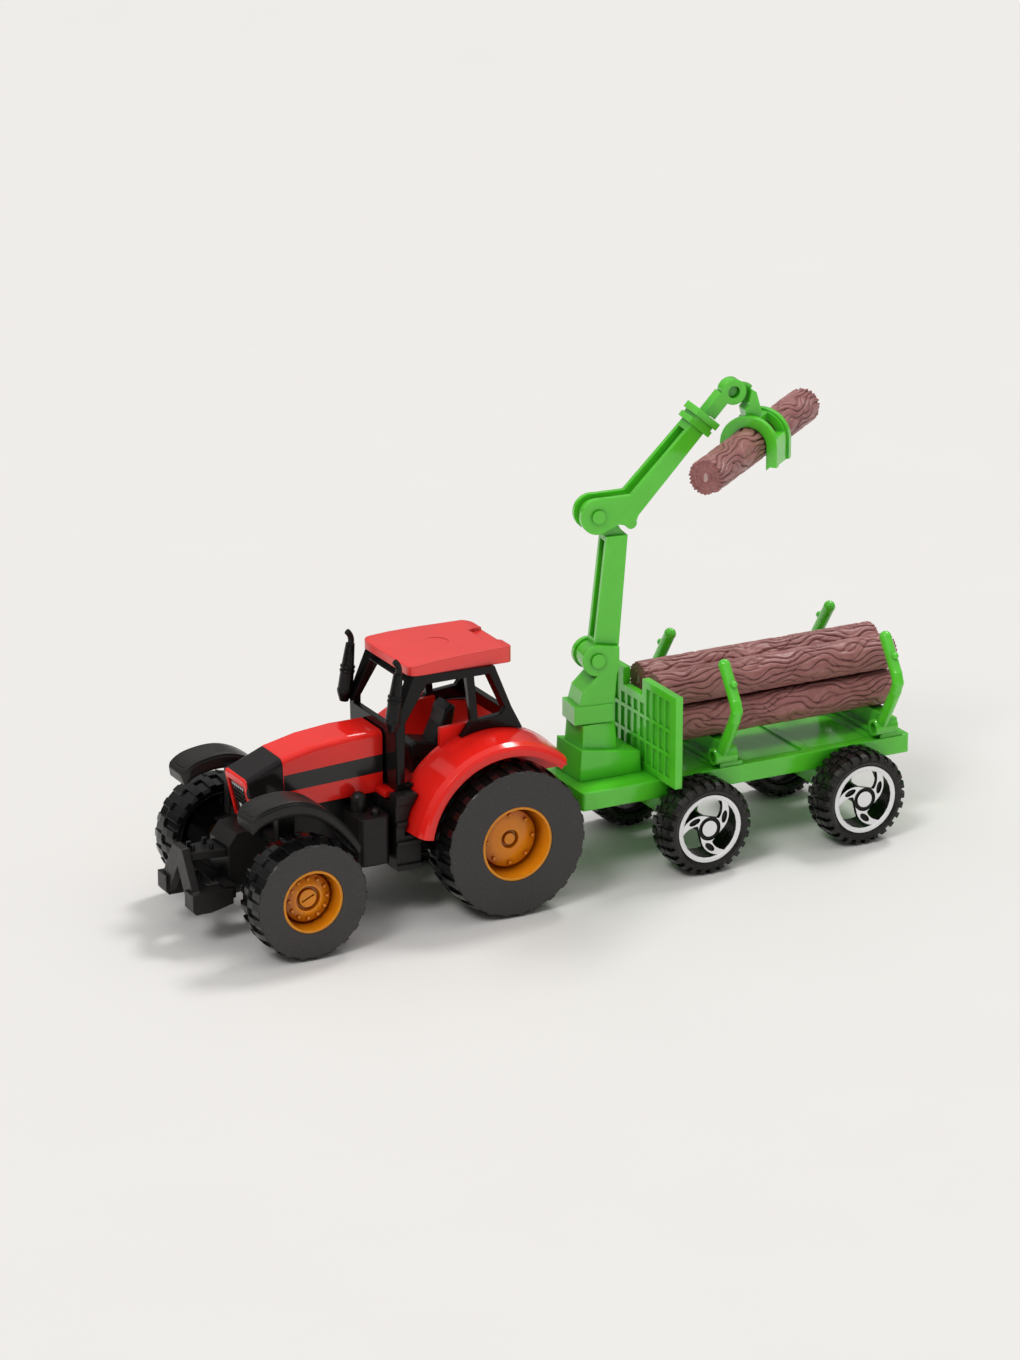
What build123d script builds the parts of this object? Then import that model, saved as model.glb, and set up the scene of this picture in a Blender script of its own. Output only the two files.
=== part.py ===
"""Toy tractor with a hitched log trailer and loading crane, sizes in millimetres.

Frame: +Z up, the ground is Z = 0, the toy stands along X with its nose towards -X.
The origin is on the ground below the middle of the whole toy, and Y = 0 is the plane
down the middle of the tractor and the trailer. The left side is -Y.
"""
from build123d import *
from math import cos, sin, radians
import os

os.makedirs("parts", exist_ok=True)

# ---------------------------------------------------------------- driving dimensions
FRONT_X = -102.0
TAIL_X = 102.0

FRONT_AXLE_X = -78.8
REAR_AXLE_X = -21.0
TRAILER_FRONT_AXLE_X = 36.4
TRAILER_REAR_AXLE_X = 82.5

FRONT_WHEEL_R = 15.5
REAR_WHEEL_R = 19.7
TRAILER_WHEEL_R = 12.45

FRONT_WHEEL_FACE_Y = 30.5
REAR_WHEEL_FACE_Y = 28.2
TRAILER_WHEEL_FACE_Y = 24.9
FRONT_WHEEL_WIDTH = 10.5
REAR_WHEEL_WIDTH = 13.2
TRAILER_WHEEL_WIDTH = 9.8
RIM_DEPTH = 0.48

AXLE_R = 1.0
AXLE_BORE_R = 1.06

BONNET_HALF = 6.4
BONNET_REAR_X = FRONT_AXLE_X + 31.2
CAB_HALF = 13.2
CAB_WALL = 1.7
FENDER_R = 26.0
FLOOR_Z = 31.5

HITCH_X = -4.0
HITCH_PEG_R = 1.5

DECK_FRONT_X = 5.0
DECK_HALF = 14.3
DECK_BOTTOM_Z = 19.2
DECK_TOP_Z = 24.0
HEADBOARD_X = 28.2
HEADBOARD_T = 2.0
STAKE_XS = {"front": 46.0, "rear": 94.0}

LOG_R = 4.75
LOG_LENGTH = 70.0
LOG_REST_Z = 30.0
LOG_GAP = 0.1

SLEW_X = 13.5
SLEW_REST_DEG = -8.0
PEDESTAL_TOP_Z = 38.2
BOOM_PIVOT = (1.7, 55.1)
ARM_PIVOT = (2.0, 93.0)
PIN_R = 1.4
PIN_BORE_R = 1.48
LOG_HEADING_DEG = 39.0

SIDES = {"left": -1, "right": 1}


# ---------------------------------------------------------------- helpers
def finish_piece(piece, name):
    """Label a finished solid and write its STEP file."""
    piece.label = name
    export_step(piece, f"parts/{name}.step")


def along_y(x, y, z):
    """Plane facing +Y at a point, with its own x along X."""
    return Plane(origin=(x, y, z), x_dir=(1, 0, 0), z_dir=(0, 1, 0))


def side_plane(y):
    """Plane facing -Y at height 0, so that sketch points read (X, Z)."""
    return Plane(origin=(0, y, 0), x_dir=(1, 0, 0), z_dir=(0, -1, 0))


def spoke_plane(axle_x, radius, angle_deg):
    """Plane through a wheel's axis: its own x is radial and its own y is along Y."""
    a = radians(angle_deg)
    return Plane(
        origin=(axle_x, 0, radius),
        x_dir=(cos(a), 0, sin(a)),
        z_dir=(-sin(a), 0, cos(a)),
    )


def polygon(points):
    """Closed straight-sided outline, made into a face in the current sketch."""
    Polygon(*points)


# ---------------------------------------------------------------- wheels
def make_tractor_tyre(name, axle_x, radius, side, face_y, width, opening_r, lugs, ribs):
    """Hollow plastic tyre: flat outer face, crowned lugged tread, ribbed open back."""
    wall = 1.7
    face_r = radius - 0.8
    back_y = face_y - width
    mid_y = face_y - width / 2
    axis = Axis((axle_x, 0, radius), (0, 1, 0))
    sleeve_r = opening_r + 1.2
    web_y = face_y - width * RIM_DEPTH - 1.25
    with BuildPart() as tyre:
        with BuildSketch(spoke_plane(axle_x, radius, 0)):
            polygon([
                (opening_r, side * face_y),
                (face_r - 0.3, side * face_y),
                (face_r, side * (face_y - 0.4)),
                (radius - 0.6, side * mid_y),
                (face_r - 0.3, side * (back_y + 0.5)),
                (face_r - 1.0, side * back_y),
                (face_r - wall - 0.6, side * back_y),
                (face_r - wall - 0.2, side * (face_y - wall)),
                (sleeve_r, side * (face_y - wall)),
                (sleeve_r, side * (web_y - 1.2)),
                (2.55, side * (web_y - 1.2)),
                (2.55, side * web_y),
                (opening_r, side * web_y),
            ])
        revolve(axis=axis)
        with BuildSketch(spoke_plane(axle_x, radius, 0)):
            polygon([
                (radius - 1.4, side * (mid_y - 0.4)),
                (radius - 0.15, side * (mid_y - 0.25)),
                (radius - 0.15, side * (mid_y + 0.25)),
                (radius - 1.4, side * (mid_y + 0.4)),
            ])
        revolve(axis=axis)
        pitch = 360 / lugs
        for row, (near_y, far_y) in enumerate([(mid_y, face_y), (mid_y, back_y)]):
            for k in range(lugs):
                with BuildSketch(spoke_plane(axle_x, radius, (k + 0.5 * row) * pitch)):
                    polygon([
                        (radius - 1.6, side * near_y),
                        (radius, side * near_y),
                        (radius - 0.12, side * (near_y + 0.5 * (far_y - near_y))),
                        (radius - 0.6, side * (far_y + 0.35 * (near_y - far_y) / width)),
                        (face_r - 1.2, side * far_y),
                    ])
        revolve(axis=axis, revolution_arc=pitch * 0.46)
        with BuildSketch(along_y(axle_x, min(side * (face_y - wall), side * (back_y + 1.5)), radius)):
            with PolarLocations((sleeve_r + face_r - wall) / 2, ribs):
                Rectangle(face_r - wall - sleeve_r + 1.0, 0.9)
        extrude(amount=width - wall - 1.5)
    finish_piece(tyre.part, name)


def make_tractor_rim(name, axle_x, radius, side, face_y, width, rim_r, bolts, slotted):
    """Deep-dish hub: outer lip, cup wall, bolt ring and centre boss, on the axle."""
    axis = Axis((axle_x, 0, radius), (0, 1, 0))
    floor_y = face_y - width * RIM_DEPTH
    ring_y = floor_y + 0.8
    back_y = face_y - width + 0.4
    boss_r = rim_r * (0.34 if slotted else 0.2)
    ring_out_r = rim_r * 0.76
    with BuildPart() as rim:
        with BuildSketch(spoke_plane(axle_x, radius, 0)):
            polygon([
                (0, side * (floor_y - 1.2)),
                (rim_r, side * (floor_y - 1.2)),
                (rim_r, side * (face_y - 0.2)),
                (rim_r - 0.7, side * (face_y - 0.2)),
                (rim_r - 1.3, side * (floor_y + 0.9)),
                (ring_out_r + 0.6, side * floor_y),
                (ring_out_r, side * (ring_y + 0.6)),
                (boss_r + 0.9, side * (ring_y + 1.3)),
                (boss_r + 0.5, side * (ring_y + 1.3)),
                (boss_r + 0.2, side * (ring_y + 0.3)),
                (boss_r - 0.3, side * (ring_y + 0.3)),
                (boss_r - 0.5, side * (ring_y + 1.1)),
                (0, side * (ring_y + 1.1)),
            ])
        revolve(axis=axis)
        with BuildSketch(spoke_plane(axle_x, radius, 0)):
            polygon([
                (0, side * (floor_y - 0.6)),
                (2.4, side * (floor_y - 0.6)),
                (2.1, side * back_y),
                (0, side * back_y),
            ])
        revolve(axis=axis)
        bolt_y = side * (ring_y + 0.5)
        with BuildSketch(Plane(origin=(axle_x, bolt_y, radius), x_dir=(1, 0, 0), z_dir=(0, side, 0))):
            with PolarLocations(ring_out_r - 1.1, bolts):
                Circle(0.42)
        extrude(amount=0.95)
        if slotted:
            slot_y = side * (ring_y + 0.7)
            with BuildSketch(Plane(origin=(axle_x, slot_y, radius), x_dir=(1, 0, 0), z_dir=(0, side, 0))):
                Rectangle(boss_r * 1.3, 0.5, rotation=side * -25)
            extrude(amount=1.0, mode=Mode.SUBTRACT)
        bore_start = Plane(origin=(axle_x, side * (back_y - 1), radius), x_dir=(1, 0, 0), z_dir=(0, side, 0))
        with BuildSketch(bore_start):
            Circle(AXLE_R)
        extrude(amount=floor_y - back_y + 1.2, mode=Mode.SUBTRACT)
    finish_piece(rim.part, name)
    return floor_y + 0.2


def make_axle(name, axle_x, radius, half_length):
    """Plain steel rod pressed into both hubs."""
    with BuildPart() as axle:
        with BuildSketch(along_y(axle_x, -half_length, radius)):
            Circle(AXLE_R)
        extrude(amount=2 * half_length)
    finish_piece(axle.part, name)


for side_name, side in SIDES.items():
    make_tractor_tyre(
        f"front_tyre_{side_name}", FRONT_AXLE_X, FRONT_WHEEL_R, side,
        FRONT_WHEEL_FACE_Y, FRONT_WHEEL_WIDTH, 8.2, 22, 8,
    )
    front_seat_y = make_tractor_rim(
        f"front_rim_{side_name}", FRONT_AXLE_X, FRONT_WHEEL_R, side,
        FRONT_WHEEL_FACE_Y, FRONT_WHEEL_WIDTH, 8.15, 12, True,
    )
    make_tractor_tyre(
        f"rear_tyre_{side_name}", REAR_AXLE_X, REAR_WHEEL_R, side,
        REAR_WHEEL_FACE_Y, REAR_WHEEL_WIDTH, 9.8, 26, 10,
    )
    rear_seat_y = make_tractor_rim(
        f"rear_rim_{side_name}", REAR_AXLE_X, REAR_WHEEL_R, side,
        REAR_WHEEL_FACE_Y, REAR_WHEEL_WIDTH, 9.75, 8, False,
    )
make_axle("front_axle", FRONT_AXLE_X, FRONT_WHEEL_R, front_seat_y - 0.1)
make_axle("rear_axle", REAR_AXLE_X, REAR_WHEEL_R, rear_seat_y - 0.1)

TRAILER_HUB_R = 9.0
SPOKE_SWEEP_DEG = 42
SPOKE_DEG = 134


def make_trailer_tyre(name, axle_x, side):
    """Rounded tyre with two rows of square side lugs and a raised middle rib."""
    radius = TRAILER_WHEEL_R
    face_y = TRAILER_WHEEL_FACE_Y
    back_y = face_y - TRAILER_WHEEL_WIDTH
    mid_y = (face_y + back_y) / 2
    axis = Axis((axle_x, 0, radius), (0, 1, 0))
    lugs = 26
    pitch = 360 / lugs
    with BuildPart() as tyre:
        with BuildSketch(spoke_plane(axle_x, radius, 0)):
            polygon([
                (TRAILER_HUB_R + 0.05, side * (face_y - 0.7)),
                (TRAILER_HUB_R + 1.1, side * face_y),
                (radius - 1.5, side * (face_y - 0.2)),
                (radius - 0.75, side * (face_y - 1.6)),
                (radius - 0.55, side * mid_y),
                (radius - 0.75, side * (back_y + 1.6)),
                (radius - 1.5, side * (back_y + 0.2)),
                (TRAILER_HUB_R + 1.1, side * back_y),
                (TRAILER_HUB_R + 0.05, side * (back_y + 0.7)),
            ])
        revolve(axis=axis)
        for row, edge_y in enumerate([face_y, back_y]):
            inward = 1 if row else -1
            for k in range(lugs):
                with BuildSketch(spoke_plane(axle_x, radius, (k + 0.5 * row) * pitch)):
                    polygon([
                        (radius - 1.9, side * edge_y),
                        (radius - 0.7, side * (edge_y + inward * 0.1)),
                        (radius - 0.1, side * (edge_y + inward * 1.2)),
                        (radius - 0.02, side * (edge_y + inward * 3.3)),
                        (radius - 0.9, side * (edge_y + inward * 3.5)),
                        (radius - 1.9, side * (edge_y + inward * 1.5)),
                    ])
        revolve(axis=axis, revolution_arc=pitch * 0.5)
        for k in range(lugs):
            with BuildSketch(spoke_plane(axle_x, radius, (k + 0.2) * pitch)):
                polygon([
                    (radius - 0.9, side * (mid_y - 1.1)),
                    (radius, side * (mid_y - 0.9)),
                    (radius, side * (mid_y + 0.9)),
                    (radius - 0.9, side * (mid_y + 1.1)),
                ])
        revolve(axis=axis, revolution_arc=pitch * 0.6)
    finish_piece(tyre.part, name)


def swirl_slot(inner_r, outer_r, arm_deg):
    """Curved opening between two sweeping spokes, as a face in the current sketch."""
    steps = 7

    def edge(share, half_sign, spoke_deg):
        r = inner_r + (outer_r - inner_r) * share
        half_width = 28 - 20 * share ** 0.7
        a = radians(spoke_deg + SPOKE_SWEEP_DEG * share + half_sign * half_width)
        return (r * cos(a), r * sin(a))

    leading = [edge(k / steps, 1, arm_deg) for k in range(steps + 1)]
    trailing = [edge(k / steps, -1, arm_deg + 120) for k in range(steps, -1, -1)]
    first = arm_deg + SPOKE_SWEEP_DEG + 8
    rim = [
        (outer_r * cos(radians(first + 104 * k / steps)), outer_r * sin(radians(first + 104 * k / steps)))
        for k in range(1, steps)
    ]
    polygon(leading + rim + trailing)


def make_trailer_hub(name, axle_x, side):
    """Swirl hub: three open curved slots, three shallow teardrops, a ring and a centre."""
    radius = TRAILER_WHEEL_R
    face_y = TRAILER_WHEEL_FACE_Y - 0.6
    face_t = 1.3
    back_y = TRAILER_WHEEL_FACE_Y - TRAILER_WHEEL_WIDTH + 0.4
    axis = Axis((axle_x, 0, radius), (0, 1, 0))
    outward = Plane(origin=(axle_x, side * face_y, radius), x_dir=(1, 0, 0), z_dir=(0, side, 0))
    with BuildPart() as hub:
        with BuildSketch(spoke_plane(axle_x, radius, 0)):
            polygon([
                (0, side * (face_y - face_t)),
                (TRAILER_HUB_R - 1.1, side * (face_y - face_t)),
                (TRAILER_HUB_R - 1.1, side * (back_y + 1.0)),
                (TRAILER_HUB_R, side * (back_y + 1.0)),
                (TRAILER_HUB_R, side * (face_y + 0.2)),
                (TRAILER_HUB_R - 0.8, side * (face_y + 0.2)),
                (TRAILER_HUB_R - 1.0, side * face_y),
                (0, side * face_y),
            ])
        revolve(axis=axis)
        with BuildSketch(spoke_plane(axle_x, radius, 0)):
            polygon([
                (0, side * (face_y - 0.5)),
                (2.3, side * (face_y - 0.5)),
                (2.1, side * back_y),
                (0, side * back_y),
            ])
        revolve(axis=axis)
        with BuildSketch(outward):
            for k in range(3):
                swirl_slot(3.6, TRAILER_HUB_R - 1.2, SPOKE_DEG + 120 * k)
        extrude(amount=-(face_t + 0.1), mode=Mode.SUBTRACT)
        with BuildSketch(outward):
            with PolarLocations(5.0, 3, start_angle=SPOKE_DEG + 17):
                Ellipse(1.7, 0.8, rotation=48)
        extrude(amount=-0.5, mode=Mode.SUBTRACT)
        with BuildSketch(outward):
            Circle(3.2)
            Circle(2.1, mode=Mode.SUBTRACT)
        extrude(amount=-0.4, mode=Mode.SUBTRACT)
        bore_start = Plane(origin=(axle_x, side * (back_y - 1), radius), x_dir=(1, 0, 0), z_dir=(0, side, 0))
        with BuildSketch(bore_start):
            Circle(AXLE_R)
        extrude(amount=face_y - back_y - 0.4, mode=Mode.SUBTRACT)
    finish_piece(hub.part, name)
    return face_y - 1.5


for position, axle_x in {"front": TRAILER_FRONT_AXLE_X, "rear": TRAILER_REAR_AXLE_X}.items():
    for side_name, side in SIDES.items():
        make_trailer_tyre(f"trailer_{position}_tyre_{side_name}", axle_x, side)
        hub_seat_y = make_trailer_hub(f"trailer_{position}_hub_{side_name}", axle_x, side)
    make_axle(f"trailer_{position}_axle", axle_x, TRAILER_WHEEL_R, hub_seat_y)

# ---------------------------------------------------------------- red body
nose_top = (FRONT_AXLE_X - 6.8, 40.0)
cowl_rear_top = (FRONT_AXLE_X + 3.9, 44.5)
bonnet_outline = [
    (FRONT_AXLE_X - 4.0, 27.6),
    nose_top,
    cowl_rear_top,
    (FRONT_AXLE_X + 12.5, 46.4),
    (FRONT_AXLE_X + 22.0, 47.3),
    (BONNET_REAR_X, 47.3),
    (BONNET_REAR_X, FLOOR_Z),
    (FRONT_AXLE_X + 4.0, 31.0),
]
hollow_outline = [
    (FRONT_AXLE_X - 2.4, 20.0),
    (FRONT_AXLE_X - 4.7, 38.8),
    (FRONT_AXLE_X + 4.2, 42.7),
    (BONNET_REAR_X - 2.0, 45.0),
    (BONNET_REAR_X - 2.0, 20.0),
]

with BuildPart() as bonnet_block:
    with BuildSketch(side_plane(0)):
        polygon(bonnet_outline)
    extrude(amount=BONNET_HALF, both=True)
    top_edges = bonnet_block.edges().filter_by(
        lambda e: abs(abs(e.center().Y) - BONNET_HALF) < 0.01 and e.center().Z > 41.0
    )
    fillet(top_edges, radius=1.6)
    nose_edges = bonnet_block.edges().filter_by(
        lambda e: e.center().X < FRONT_AXLE_X - 5.0 and abs(e.center().Y) > 5.5 and e.center().Z < 39.0
    )
    fillet(nose_edges, radius=0.9)

COWL_T = 0.8
cowl_zone = [
    (FRONT_AXLE_X - 6.1, 35.3),
    (FRONT_AXLE_X - 6.0, 50.0),
    (FRONT_AXLE_X + 3.2, 50.0),
    (FRONT_AXLE_X + 3.9, 35.9),
]
cowl_core = [
    (FRONT_AXLE_X - 8.0, 30.0),
    (FRONT_AXLE_X - 8.0, nose_top[1] - COWL_T - 0.5),
    (cowl_rear_top[0], cowl_rear_top[1] - COWL_T),
    (cowl_rear_top[0] + 3.0, 30.0),
]

with BuildPart() as bonnet_cowl:
    add(bonnet_block.part)
    with BuildSketch(side_plane(0)):
        polygon(cowl_zone)
    extrude(amount=BONNET_HALF + 1, both=True, mode=Mode.INTERSECT)
    with BuildSketch(side_plane(0)):
        polygon(cowl_core)
    extrude(amount=BONNET_HALF - COWL_T, both=True, mode=Mode.SUBTRACT)
finish_piece(bonnet_cowl.part, "bonnet_cowl")

GRILLE_HALF = 4.5
grille_lean = Plane(
    origin=(FRONT_AXLE_X - 5.29, 0, 33.3),
    x_dir=(0, 1, 0),
    z_dir=(-12.4, 0, -2.8),
)
with BuildPart() as grille:
    with BuildSketch(grille_lean.offset(-0.45)):
        Rectangle(2 * GRILLE_HALF, 9.6)
    extrude(amount=-1.6)
    with BuildSketch(grille_lean.offset(-0.45)):
        with Locations((0, -0.8)):
            with GridLocations(0, 1.3, 1, 4):
                Rectangle(2 * GRILLE_HALF - 1.4, 0.45)
    extrude(amount=-0.4, mode=Mode.SUBTRACT)
finish_piece(grille.part, "grille")

WELL_Y = (10.0, 11.4)
LIP_Y = 24.2
FENDER_START_DEG = 48
FENDER_END_DEG = 171
SCREWS = {"bonnet": -62.0, "cab": -15.5}
SCREW_R = 1.0
REAR_AXIS = Axis((REAR_AXLE_X, 0, REAR_WHEEL_R), (0, -1, 0))

with BuildPart() as body_shell:
    add(bonnet_block.part)
    with BuildSketch(side_plane(0)):
        polygon(hollow_outline)
    extrude(amount=BONNET_HALF - 1.5, both=True, mode=Mode.SUBTRACT)
    add(bonnet_cowl.part, mode=Mode.SUBTRACT)
    with BuildSketch(grille_lean.offset(1.5)):
        Rectangle(2 * GRILLE_HALF, 9.6)
    extrude(amount=-4.5, mode=Mode.SUBTRACT)
    with BuildSketch(Plane.XY.offset(FLOOR_Z)):
        with Locations((BONNET_REAR_X - 2.0, 0)):
            Rectangle(36.0, 2 * WELL_Y[1], align=(Align.MIN, Align.CENTER))
    extrude(amount=1.5)
    for side in SIDES.values():
        with BuildSketch(side_plane(side * WELL_Y[0])):
            with Locations((REAR_AXLE_X, REAR_WHEEL_R)):
                Circle(FENDER_R)
            with Locations((REAR_AXLE_X, FLOOR_Z)):
                Rectangle(60, 40, align=(Align.CENTER, Align.MAX), mode=Mode.SUBTRACT)
            polygon([(-34.0, 40.0), (-34.0, 47.2), (-24.5, 47.6), (-24.5, 40.0)])
        extrude(amount=-side * (WELL_Y[1] - WELL_Y[0]))
        with BuildSketch(spoke_plane(REAR_AXLE_X, REAR_WHEEL_R, FENDER_START_DEG)):
            polygon([
                (24.3, side * WELL_Y[0]),
                (FENDER_R, side * WELL_Y[0]),
                (FENDER_R - 0.15, side * 14.0),
                (25.0, side * 22.2),
                (24.3, side * (LIP_Y - 0.5)),
                (23.5, side * LIP_Y),
                (21.7, side * LIP_Y),
                (21.7, side * (LIP_Y - 1.2)),
                (23.1, side * (LIP_Y - 1.8)),
                (24.2, side * 14.0),
            ])
        revolve(axis=REAR_AXIS, revolution_arc=FENDER_END_DEG - FENDER_START_DEG)
    for screw_x, boss_top in [(SCREWS["bonnet"], 45.0), (SCREWS["cab"], 37.0)]:
        with BuildSketch(Plane.XY.offset(FLOOR_Z)):
            with Locations((screw_x, 0)):
                Circle(2.6)
        extrude(amount=boss_top - FLOOR_Z)
        with BuildSketch(Plane.XY.offset(FLOOR_Z - 1)):
            with Locations((screw_x, 0)):
                Circle(SCREW_R)
        extrude(amount=5.6, mode=Mode.SUBTRACT)
finish_piece(body_shell.part, "body_shell")

# ---------------------------------------------------------------- cab
ROOF_UNDER = [(-44.0, 62.9), (-13.0, 61.7)]


def under_roof(x):
    """Height of the roof's sloping underside above a point on the X axis."""
    (x0, z0), (x1, z1) = ROOF_UNDER
    return z0 + (z1 - z0) * (x - x0) / (x1 - x0)


cab_outline = [
    (-46.9, FLOOR_Z + 0.9),
    (-47.3, 51.0),
    (-42.2, under_roof(-42.2)),
    (-19.6, under_roof(-19.6)),
    (-14.9, 50.5),
    (-11.9, 44.7),
    (-13.5, 43.0),
    (-34.0, 36.0),
    (-37.4, FLOOR_Z + 0.9),
]
cab_hollow = [
    (-45.2, 30.0),
    (-45.6, 51.0),
    (-41.0, 60.6),
    (-21.2, 60.6),
    (-16.6, 50.4),
    (-13.4, 43.0),
    (-13.4, 30.0),
]
door = [(-38.6, 60.2), (-27.5, 60.2), (-26.2, 48.1), (-36.7, 34.6), (-44.9, 34.6), (-44.7, 50.8)]
quarter_window = [(-25.4, 60.1), (-21.0, 60.1), (-16.6, 50.4), (-17.6, 49.0), (-24.3, 48.4)]

with BuildPart() as cab_frame:
    with BuildSketch(side_plane(0)):
        polygon(cab_outline)
        with Locations((REAR_AXLE_X, REAR_WHEEL_R)):
            Circle(FENDER_R + 0.08, mode=Mode.SUBTRACT)
    extrude(amount=CAB_HALF, both=True)
    fillet(cab_frame.edges().filter_by(Axis.Z, tolerance=30).group_by(Axis.X)[0], radius=0.8)
    with BuildSketch(side_plane(0)):
        polygon(cab_hollow)
    extrude(amount=CAB_HALF - CAB_WALL, both=True, mode=Mode.SUBTRACT)
    with BuildSketch(Plane.XY.offset(FLOOR_Z - 2)):
        with Locations((REAR_AXLE_X, 0)):
            Rectangle(80, 2 * WELL_Y[1] + 0.1)
    extrude(amount=3.56, mode=Mode.SUBTRACT)
    with BuildSketch(side_plane(0)):
        polygon(door)
        polygon(quarter_window)
    extrude(amount=CAB_HALF + 1, both=True, mode=Mode.SUBTRACT)
    with BuildSketch(Plane.YZ.offset(-50)):
        polygon([(-10.4, 49.4), (10.4, 49.4), (9.6, 60.6), (-9.6, 60.6)])
    extrude(amount=12, mode=Mode.SUBTRACT)
    with BuildSketch(Plane.YZ.offset(-24)):
        polygon([(-9.4, 49.5), (9.4, 49.5), (9.0, 59.8), (-9.0, 59.8)])
    extrude(amount=14, mode=Mode.SUBTRACT)
finish_piece(cab_frame.part, "cab_frame")

with BuildPart() as roof:
    with BuildSketch(Plane.XY.offset(60)) as roof_plan:
        polygon([(-43.4, -13.5), (-43.4, 13.5), (-13.6, 11.9), (-13.6, -11.9)])
        fillet(roof_plan.vertices(), radius=2.2)
    extrude(amount=8)
    with BuildSketch(side_plane(0)):
        polygon([
            ROOF_UNDER[0],
            (-44.0, 64.7),
            (-42.4, 65.3),
            (-36.0, 65.8),
            (-28.0, 66.0),
            (-16.0, 66.0),
            (-13.0, 65.5),
            ROOF_UNDER[1],
        ])
    extrude(amount=15, both=True, mode=Mode.INTERSECT)
    with BuildSketch(Plane.XY.offset(65.0)):
        polygon([(-18.0, -4.2), (-18.0, 4.2), (-12.0, 6.0), (-12.0, -6.0)])
    extrude(amount=3, mode=Mode.SUBTRACT)
    with BuildSketch(Plane.XY.offset(65.88)):
        with Locations((-29.5, 0)):
            Circle(3.4)
    extrude(amount=1.0, mode=Mode.SUBTRACT)
finish_piece(roof.part, "roof")

with BuildPart() as seat:
    with BuildSketch(side_plane(0)):
        polygon([
            (-38.2, 37.2),
            (-38.6, 41.0),
            (-37.0, 41.8),
            (-31.6, 40.6),
            (-29.6, 44.8),
            (-28.4, 48.6),
            (-26.8, 49.9),
            (-25.6, 49.2),
            (-26.6, 43.4),
            (-28.8, 37.2),
        ])
    extrude(amount=3.7, both=True)
    fillet(seat.edges().filter_by(lambda e: abs(abs(e.center().Y) - 3.7) < 0.01), radius=0.7)
    with BuildSketch(Plane.XY.offset(FLOOR_Z + 1.5)):
        with Locations((-33.5, 0)):
            RectangleRounded(7.0, 6.4, 1.0)
    extrude(amount=5.0)
finish_piece(seat.part, "seat")

STACK_FOOT = (-48.3, 51.5)
STACK_TOP = (-46.6, 64.3)
STACK_Y = 13.3

for side_name, side in SIDES.items():
    y = side * STACK_Y
    foot = Plane(
        origin=(STACK_FOOT[0], y, STACK_FOOT[1]),
        x_dir=(0, 1, 0),
        z_dir=(STACK_TOP[0] - STACK_FOOT[0], 0, STACK_TOP[1] - STACK_FOOT[1]),
    )
    with BuildPart() as stack:
        with BuildSketch(foot.offset(-2.2)):
            Circle(1.1)
        with BuildSketch(foot):
            Circle(1.95)
        loft()
        with BuildSketch(foot):
            Circle(1.95)
        with BuildSketch(foot.offset(5.5)):
            Circle(1.75)
        loft()
        with BuildSketch(foot.offset(5.5)):
            Circle(1.75)
        with BuildSketch(foot.offset(12.9)):
            Circle(1.15)
        loft()
        for height in [0.4, 5.5, 6.6]:
            with BuildSketch(foot.offset(height)):
                Circle(2.05 - 0.02 * height)
            extrude(amount=0.5)
        with BuildLine() as tip_path:
            Spline(
                (STACK_TOP[0] - 0.1, y, STACK_TOP[1] - 0.8),
                (STACK_TOP[0] + 0.1, y, STACK_TOP[1] + 1.6),
                (STACK_TOP[0] - 0.9, y, STACK_TOP[1] + 3.2),
            )
        with BuildSketch(Plane(origin=tip_path.line @ 0, z_dir=tip_path.line % 0)):
            Circle(0.8)
        sweep(path=tip_path.line)
        add(cab_frame.part, mode=Mode.SUBTRACT)
    finish_piece(stack.part, f"exhaust_stack_{side_name}")

# ---------------------------------------------------------------- chassis
CHASSIS_HALF = 5.5
CHASSIS_BOTTOM_Z = 13.0
TANK_X = (-58.8, -50.3)
STEP_X = (-49.3, -42.5)
PEG_TOP_Z = 19.6
TAIL_PLATE_Z = (14.0, 16.0)

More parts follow.
